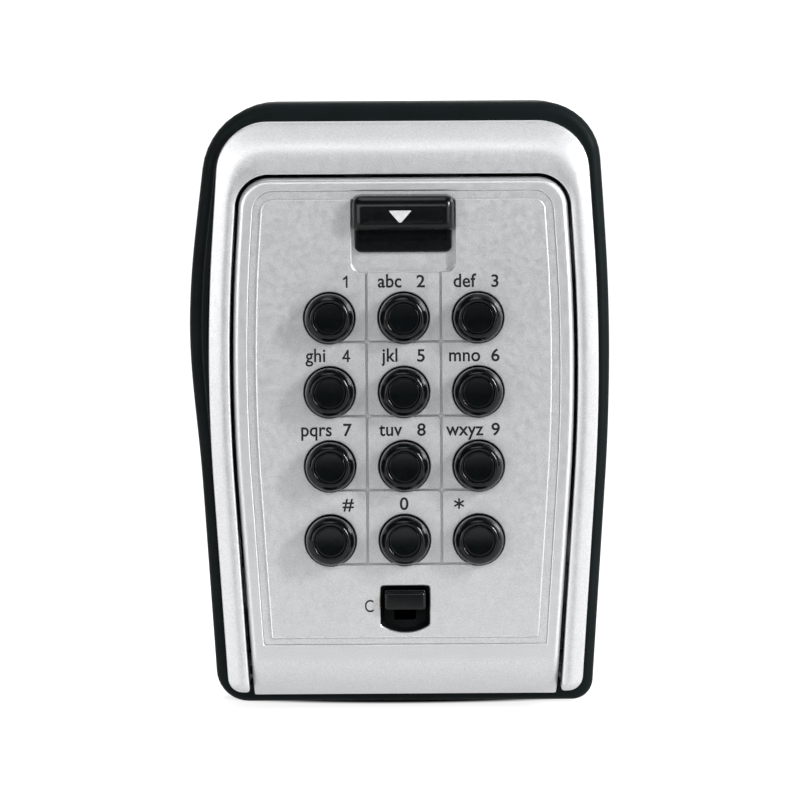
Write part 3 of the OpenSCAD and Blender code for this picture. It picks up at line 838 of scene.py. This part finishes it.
def make_fascia():
    """The raised panel: a channel at line 1, a step with a ridge at line 2, grooves and holes."""
    channel, channel_w, foot_less, ridge_h = DOOR.front - 0.24, 1.52, 0.3, 0.06
    groove_sharp = 11
    rings = [at_depth(line1_outline(0.04), DOOR_FLOOR), at_depth(line1_outline(0.04), channel)]
    for step, sunk in ((0.0, PANEL - channel), (0.05, 0.12), (0.1, 0.03), (0.16, 0.0),
                       (0.23, 0.02), (0.32, ridge_h), (1.3, ridge_h)):
        inset = channel_w + step
        rings.append(at_depth(line1_outline(inset, inset - foot_less), PANEL - sunk))
    body = loft("keypad_panel", rings)
    back, front = DOOR_FLOOR - 1, PANEL - ridge_h
    carve(body, [button_holes(back, front, 0.16), latch_cutter(back, front, 0.2),
                 clear_cutter(back, front, 0.15)])
    carve(body, [groove_cutter()], sharp=groove_sharp)
    place(body, SILVER, "door", "silver_paint", "keypad_fascia")


# ------------------------ buttons


def make_button(key):
    """A round button: a round rim, a fine groove and a slightly dished centre, on a sleeve."""
    box = BUTTONS[key]
    face, r, crest_in = box.front, BUTTON_R, 1.4
    pin_r, pin_end, spring_r, spring_end, axis_r = 2.05, 45.9, 3.7, 43.5, 0.02
    flange_front = DOOR_WALL_BACK - 0.1
    profile = [(axis_r, pin_end), (pin_r, pin_end), (pin_r, spring_end), (spring_r, spring_end),
               (spring_r, box.back), (r, box.back), (r, flange_front - 1),
               (FLANGE_R, flange_front - 1), (FLANGE_R, flange_front), (r, flange_front),
               (r, face - 2.6)]
    profile += [(r - crest_in + out, face - drop) for out, drop in
                ((1.36, 2.0), (1.29, 1.62), (1.18, 1.28), (1.03, 0.97), (0.86, 0.7), (0.68, 0.46),
                 (0.5, 0.27), (0.34, 0.13), (0.2, 0.045), (0.08, 0.005), (-0.04, 0.0),
                 (-0.14, 0.04), (-0.22, 0.12), (-0.28, 0.3), (-0.32, 0.5), (-0.38, 0.5),
                 (-0.42, 0.34), (-0.5, 0.25), (-0.62, 0.22), (-0.85, 0.25), (-1.5, 0.31),
                 (-2.5, 0.36))]
    profile.append((axis_r, face - 0.38))
    obj = turned("push_button_" + key, box.x, box.z, profile, sides=80, sharp=40)
    place(obj, BUTTON_BLACK, "button_" + key, "gloss_black", "button_" + key)


# ------------------------ latch and clear slide


def pillow(name, left, right, bottom, top, back, front, corner_r, bevels):
    """A block whose front edges step in through bevels, (inset, drop) pairs from the rim in."""
    least_r = 0.15
    rings = [at_depth(box_outline(left, right, bottom, top, corner_r), back)]
    for inset, drop in bevels:
        r = max(least_r, corner_r - inset)
        outline = box_outline(left + inset, right - inset, bottom + inset, top - inset, r)
        rings.append(at_depth(outline, front - drop))
    return loft(name, rings, sharp=40)


def rounding(r):
    """(inset, drop) pairs of a quarter-round edge."""
    return [(r - c, r - s) for c, s in arc(r, 0, 90, 6)]


def make_latch():
    """The black latch: a sunk apron, and a thumb block with a broad bevel and a dished face."""
    half, low, high = LATCH_HALF - 0.12, 34.9, LATCH_TOP - 0.08
    face_half, face_low, face_high = 8.15, 36.4, 39.5
    shelf, crest, dish = PANEL + 1.1, LEVER.front, 0.06
    apron_in, tray_in, tray_depth, tray_low = 0.5, 1.4, 1.1, 32.9
    stem_half, stem_back, stem_low, stem_high = 4, 33.2, 33.7, 39

    apron = pillow("apron", -half + apron_in, half - apron_in, LEVER.bottom, high - 1,
                   DOOR_FLOOR + 0.05, PANEL - 0.45, 1.3, rounding(0.3))
    carve(apron, [block(-half + tray_in, half - tray_in, PANEL - tray_depth, PANEL, tray_low, high,
                        0.5)])

    foot = box_outline(-half, half, low, high, 1.2, 1.7)
    rim = box_outline(-half + 0.12, half - 0.12, low + 0.12, high - 0.12, 1.1, 1.6)
    edge = box_outline(-face_half, face_half, face_low, face_high, 0.5)
    lip_in = box_outline(0.15 - face_half, face_half - 0.15, face_low + 0.15, face_high - 0.15, 0.4)
    floor = box_outline(0.9 - face_half, face_half - 0.9, face_low + 0.9, face_high - 0.9, 0.2)
    rings = [at_depth(foot, PANEL - 0.5), at_depth(foot, PANEL + 0.1), at_depth(rim, shelf)]
    rings += [at_depth(blend(rim, edge, 1 - c), shelf + (crest - shelf) * s)
              for c, s in arc(1, 6, 90, 14)]
    rings += [at_depth(lip_in, crest - 0.02), at_depth(floor, crest - dish)]
    thumb = loft("thumb", rings)
    stem = block(-stem_half, stem_half, stem_back, DOOR_FLOOR + 0.3, stem_low, stem_high, 0.5)
    obj = join("latch_slider", [apron, thumb, stem], sharp=30)
    place(obj, LATCH_BLACK, "latch", "gloss_black", "release_lever")

    arrow_x, top, drop, skew = 2.27, 39.0, 2.6, -0.6
    corners = [(skew, top - drop), (skew + arrow_x, top), (skew - arrow_x, top)]
    outline = rounded(corners, [0.45, 0.08, 0.08], steps=6)
    arrow = loft("latch_arrow", [at_depth(outline, crest - dish - 0.04),
                                 at_depth(outline, crest + 0.02)])
    place(arrow, ARROW_INK, "latch", "arrow_ink")


def make_clear_slide():
    """The clear slide's cup-shaped liner, and the slide: a plate, its grip and its stem."""
    slot_half, slot_bottom, slot_top = 2.15, -42.15, -36.85
    grip_bottom, grip_top = -39.9, -36.4
    stem_half, stem_bottom, stem_top = 2, -39.8, -37

    liner = ((0.1, DOOR_WALL_BACK), (0.1, PANEL - 0.4), (0.2, PANEL - 0.5), (0.5, PANEL - 1.1),
             (0.7, PANEL - 1.4), (0.7, CLEAR_FLOOR))
    guide = loft("clear_liner", [at_depth(clear_outline(inset), depth) for inset, depth in liner])
    carve(guide, [block(-slot_half, slot_half, DOOR_WALL_BACK - 1, DOOR_FLOOR, slot_bottom,
                        slot_top)])
    place(guide, MATTE_BLACK, "door", "matte_black", "clear_guide")

    half = SLIDER.right
    plate = pillow("plate", -half, half, SLIDER.bottom, SLIDER.top, CLEAR_FLOOR + 0.1,
                   SLIDER.front - 2.2, 0.6, rounding(0.25))
    grip = pillow("grip", -half + 0.05, half - 0.05, grip_bottom, grip_top, SLIDER.front - 2.6,
                  SLIDER.front, 0.6, rounding(0.55))
    stem = block(-stem_half, stem_half, SLIDER.back, SLIDER.front - 3.2, stem_bottom, stem_top, 0.4)
    obj = join("clear_button", [plate, grip, stem], sharp=40)
    place(obj, LATCH_BLACK, "clear", "gloss_black", "clear_slider")


# ------------------------ printed legends


PRINT_FLOOR = PANEL - 0.07  # the panel's face lies 0.06 below its ridge


def word(text, x, z, size, squeeze, weight):
    """A printed word whose foot is centred on (x, z), as a thin mesh on the panel."""
    half_thick = 0.012
    curve = bpy.data.curves.new("word", "FONT")
    curve.body = text
    curve.size = size * MM
    curve.extrude = half_thick * MM
    curve.offset = weight * MM
    curve.align_x = "CENTER"
    curve.space_character = 1.02
    obj = bpy.data.objects.new("word", curve)
    bpy.context.scene.collection.objects.link(obj)
    obj.rotation_euler = (math.pi / 2, 0, 0)
    obj.scale = (squeeze, 1, 1)
    obj.location = (x * MM, -(PRINT_FLOOR + half_thick) * MM, z * MM)
    bpy.context.view_layer.update()
    graph = bpy.context.evaluated_depsgraph_get()
    mesh = bpy.data.meshes.new_from_object(obj.evaluated_get(graph))
    mesh.transform(obj.matrix_world)
    bpy.data.objects.remove(obj)
    out = bpy.data.objects.new("word", mesh)
    bpy.context.scene.collection.objects.link(out)
    return out


def strokes(x, z, height, lines):
    """A figure drawn with straight strokes; each is (x0, z0, x1, z1) in figure heights.

    Each stroke is a little thicker than the one before, so that no two faces fight.
    """
    half_w, thick, thicker, pieces = 0.18, 0.024, 0.001, []
    for k, line in enumerate(lines):
        x0, z0, x1, z1 = [height * value for value in line]
        length = math.hypot(x1 - x0, z1 - z0)
        ax, az = half_w * (x1 - x0) / length, half_w * (z1 - z0) / length
        flat = [(x0 - ax - az, z0 - az + ax), (x0 - ax + az, z0 - az - ax),
                (x1 + ax + az, z1 + az - ax), (x1 + ax - az, z1 + az + ax)]
        flat = [(x + px, z + pz) for px, pz in flat]
        pieces.append(loft("stroke", [at_depth(flat, PRINT_FLOOR),
                                      at_depth(flat, PRINT_FLOOR + thick + thicker * k)]))
    return join("word", pieces)


def make_legends():
    """The generic figures and letters above the keys, and the clear slide's C."""
    letters = {"2": "abc", "3": "def", "4": "ghi", "5": "jkl", "6": "mno", "7": "pqrs",
               "8": "tuv", "9": "wxyz"}
    usual_shift, shift = 3.4, {"1": 3.3, "4": 3.3, "hash": 3.5, "0": -0.1, "star": -3.9}
    up, letters_shift = 6.0, -2.7
    digit, letter, drawn_tall, drawn_up = 3.45, 3.75, 2.05, 0.12
    digit_squeeze, letter_squeeze, c_squeeze = 1.05, 0.92, 0.8
    light, heavy, c_weight = 0.05, 0.06, 0.02  # a heavier g would fill in
    drawn = {"1": [(0.08, 0.0, 0.08, 1.0), (0.06, 0.97, -0.18, 0.76)],
             "4": [(0.15, 0.0, 0.15, 1.0), (0.12, 0.97, -0.3, 0.27), (-0.3, 0.27, 0.3, 0.27)],
             "star": [(0.0, 0.08, 0.0, 0.92), (-0.38, 0.28, 0.38, 0.72), (-0.38, 0.72, 0.38, 0.28)]}
    words = [strokes(BUTTONS[key].x + shift[key], BUTTONS[key].z + up + drawn_up, drawn_tall, lines)
             for key, lines in drawn.items()]
    for key, box in BUTTONS.items():
        if key not in drawn:
            sign = "#" if key == "hash" else key
            words.append(word(sign, box.x + shift.get(key, usual_shift), box.z + up, digit,
                              digit_squeeze, heavy))
        if key in letters:
            words.append(word(letters[key], box.x + letters_shift, box.z + up, letter,
                              letter_squeeze, light if key == "4" else heavy))
    words.append(word("C", -7.1, -40.4, digit, c_squeeze, c_weight))
    obj = join("key_legends", words)
    place(obj, LEGEND_INK, "door", "legend_ink")


# ------------------------ springs


def make_spring(name, node, near=None):
    """A coil taken from a CAD node, which rides on the door.

    near picks out the coil behind one button.
    """
    source = frame["nodes"][node]
    bm = bmesh.new()
    bm.from_mesh(source.data)
    bm.transform(source.matrix_world)
    if near:
        others = [v for v in bm.verts
                  if math.hypot(v.co.x / MM - near.x, v.co.z / MM - near.z) > PITCH / 2]
        bmesh.ops.delete(bm, geom=others, context="VERTS")
    obj = new_object(name, bm)
    place(obj, STEEL, "door", "steel", node)
    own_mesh(obj)


def make_springs():
    """The twelve button springs and the latch's spring."""
    for key, box in BUTTONS.items():
        make_spring("button_spring_" + key, "button_springs",
                    near=box)
    make_spring("release_coil", "release_spring")


# ------------------------ CAD pieces that keep their shape


def finish_cad(finishes):
    """CAD pieces that keep their shape get a worked material."""
    for material, nodes in finishes:
        for node in nodes:
            obj = frame["nodes"][node]
            obj.data.materials.clear()
            obj.data.materials.append(material)


# ------------------------ studio


def area_light(name, where, target, size, power):
    """A white softbox; its place and (width, height) are in metres and its power in watts."""
    light = bpy.data.lights.new(name, "AREA")
    light.shape = "RECTANGLE"
    light.size, light.size_y = size
    light.energy = power
    obj = bpy.data.objects.new(name, light)
    bpy.context.scene.collection.objects.link(obj)
    obj.location = where
    obj.rotation_euler = (Vector(target) - Vector(where)).to_track_quat("-Z", "Y").to_euler()


def make_floor():
    """A flat grid just below the safe."""
    drop, reach, cells = 0.0006, 8.0, 24  # drop and reach in metres
    z = cad_box[0][2] - drop
    at = [reach * (2 * i / cells - 1) for i in range(cells + 1)]
    bm = bmesh.new()
    grid = [[bm.verts.new((x, y, z)) for x in at] for y in at]
    for low, high in zip(grid, grid[1:]):
        for i in range(cells):
            bm.faces.new((low[i], low[i + 1], high[i + 1], high[i]))
    floor = new_object("studio_floor", bm)
    floor.data.materials.append(floor_paper())


def make_studio():
    """Floor, world and softboxes.

    The world is white behind the safe and dark in front of it, which keeps the black plastics
    black. The softboxes near 45 degrees keep the silver even from the sides.
    """
    make_floor()
    world = bpy.data.worlds.new("studio")
    bpy.context.scene.world = world
    world.use_nodes = True
    nodes, links = world.node_tree.nodes, world.node_tree.links
    way = nodes.new("ShaderNodeTexCoord").outputs["Generated"]
    split = nodes.new("ShaderNodeSeparateXYZ")
    links.new(way, split.inputs["Vector"])
    fade = map_range(world.node_tree, split.outputs["Y"], (-0.1, 0.5), (0.04, 1.5), smooth=True)
    links.new(fade, nodes["Background"].inputs["Strength"])
    nodes["Background"].inputs["Color"].default_value = (1, 1, 1, 1)

    middle = (0.0, -0.04, 0.0)
    for name, where, size, power in (
            ("key_right", (0.70, -0.48, 0.40), (0.09, 0.32), 13),
            ("fill_left", (-0.70, -0.70, 0.0), (0.7, 0.8), 7.5),
            ("fill_right", (0.76, -0.62, 0.0), (0.6, 0.8), 4.5),
            ("fill_top", (-0.14, -0.95, 0.36), (0.9, 0.14), 2.7),
            ("rim_top", (-0.1, -0.16, 0.95), (0.6, 0.4), 2.4)):
        area_light(name, where, middle, size, power)
    bpy.context.scene.view_settings.view_transform = "Standard"


def make_camera():
    """The camera stands a little to the left of the safe and above it, and leans very slightly."""
    azimuth, elevation, lean = math.radians(-0.35), math.radians(3.5), math.radians(0.32)
    distance, view_width, sensor = 1.2, 0.158, 36.0  # metres, metres and millimetres
    target = Vector((-0.0008, -0.044, 0.00144))
    back = Vector((math.sin(azimuth) * math.cos(elevation),
                   -math.cos(azimuth) * math.cos(elevation), math.sin(elevation)))
    data = bpy.data.cameras.new("camera")
    data.sensor_width = sensor
    data.lens = sensor * distance / view_width
    data.clip_start, data.clip_end = 0.05, 50
    obj = bpy.data.objects.new("camera", data)
    bpy.context.scene.collection.objects.link(obj)
    obj.location = target + back * distance
    turn = (-back).to_track_quat("-Z", "Y")
    obj.rotation_euler = (turn.to_matrix() @ Matrix.Rotation(-lean, 3, "Z")).to_euler()
    bpy.context.scene.camera = obj


make_camera()
make_bumper()
make_frame()
make_door()
make_fascia()
for key_name in KEYS:
    make_button(key_name)
make_latch()
make_clear_slide()
make_legends()
make_springs()
finish_cad([
    (CASTING, ["back_box"]),
    (ZINC, ["lock_chassis"]),
    (MATTE_BLACK, ["mechanism_cover"]),
    (STEEL, ["frame_screws", "mechanism_screws", "clear_spring", "lever_screw", "clear_screw"]),
    # The hinge pins take the near-black steel as painted shade, so the gap at the door's foot reads
    # dark.
    (BLACK_STEEL_AND_SHADE, ["hinge_pins", "bolt_plate"]),
    (BRASS, ["clear_plate"] + ["code_pin_" + key for key in KEYS]),
])
make_studio()
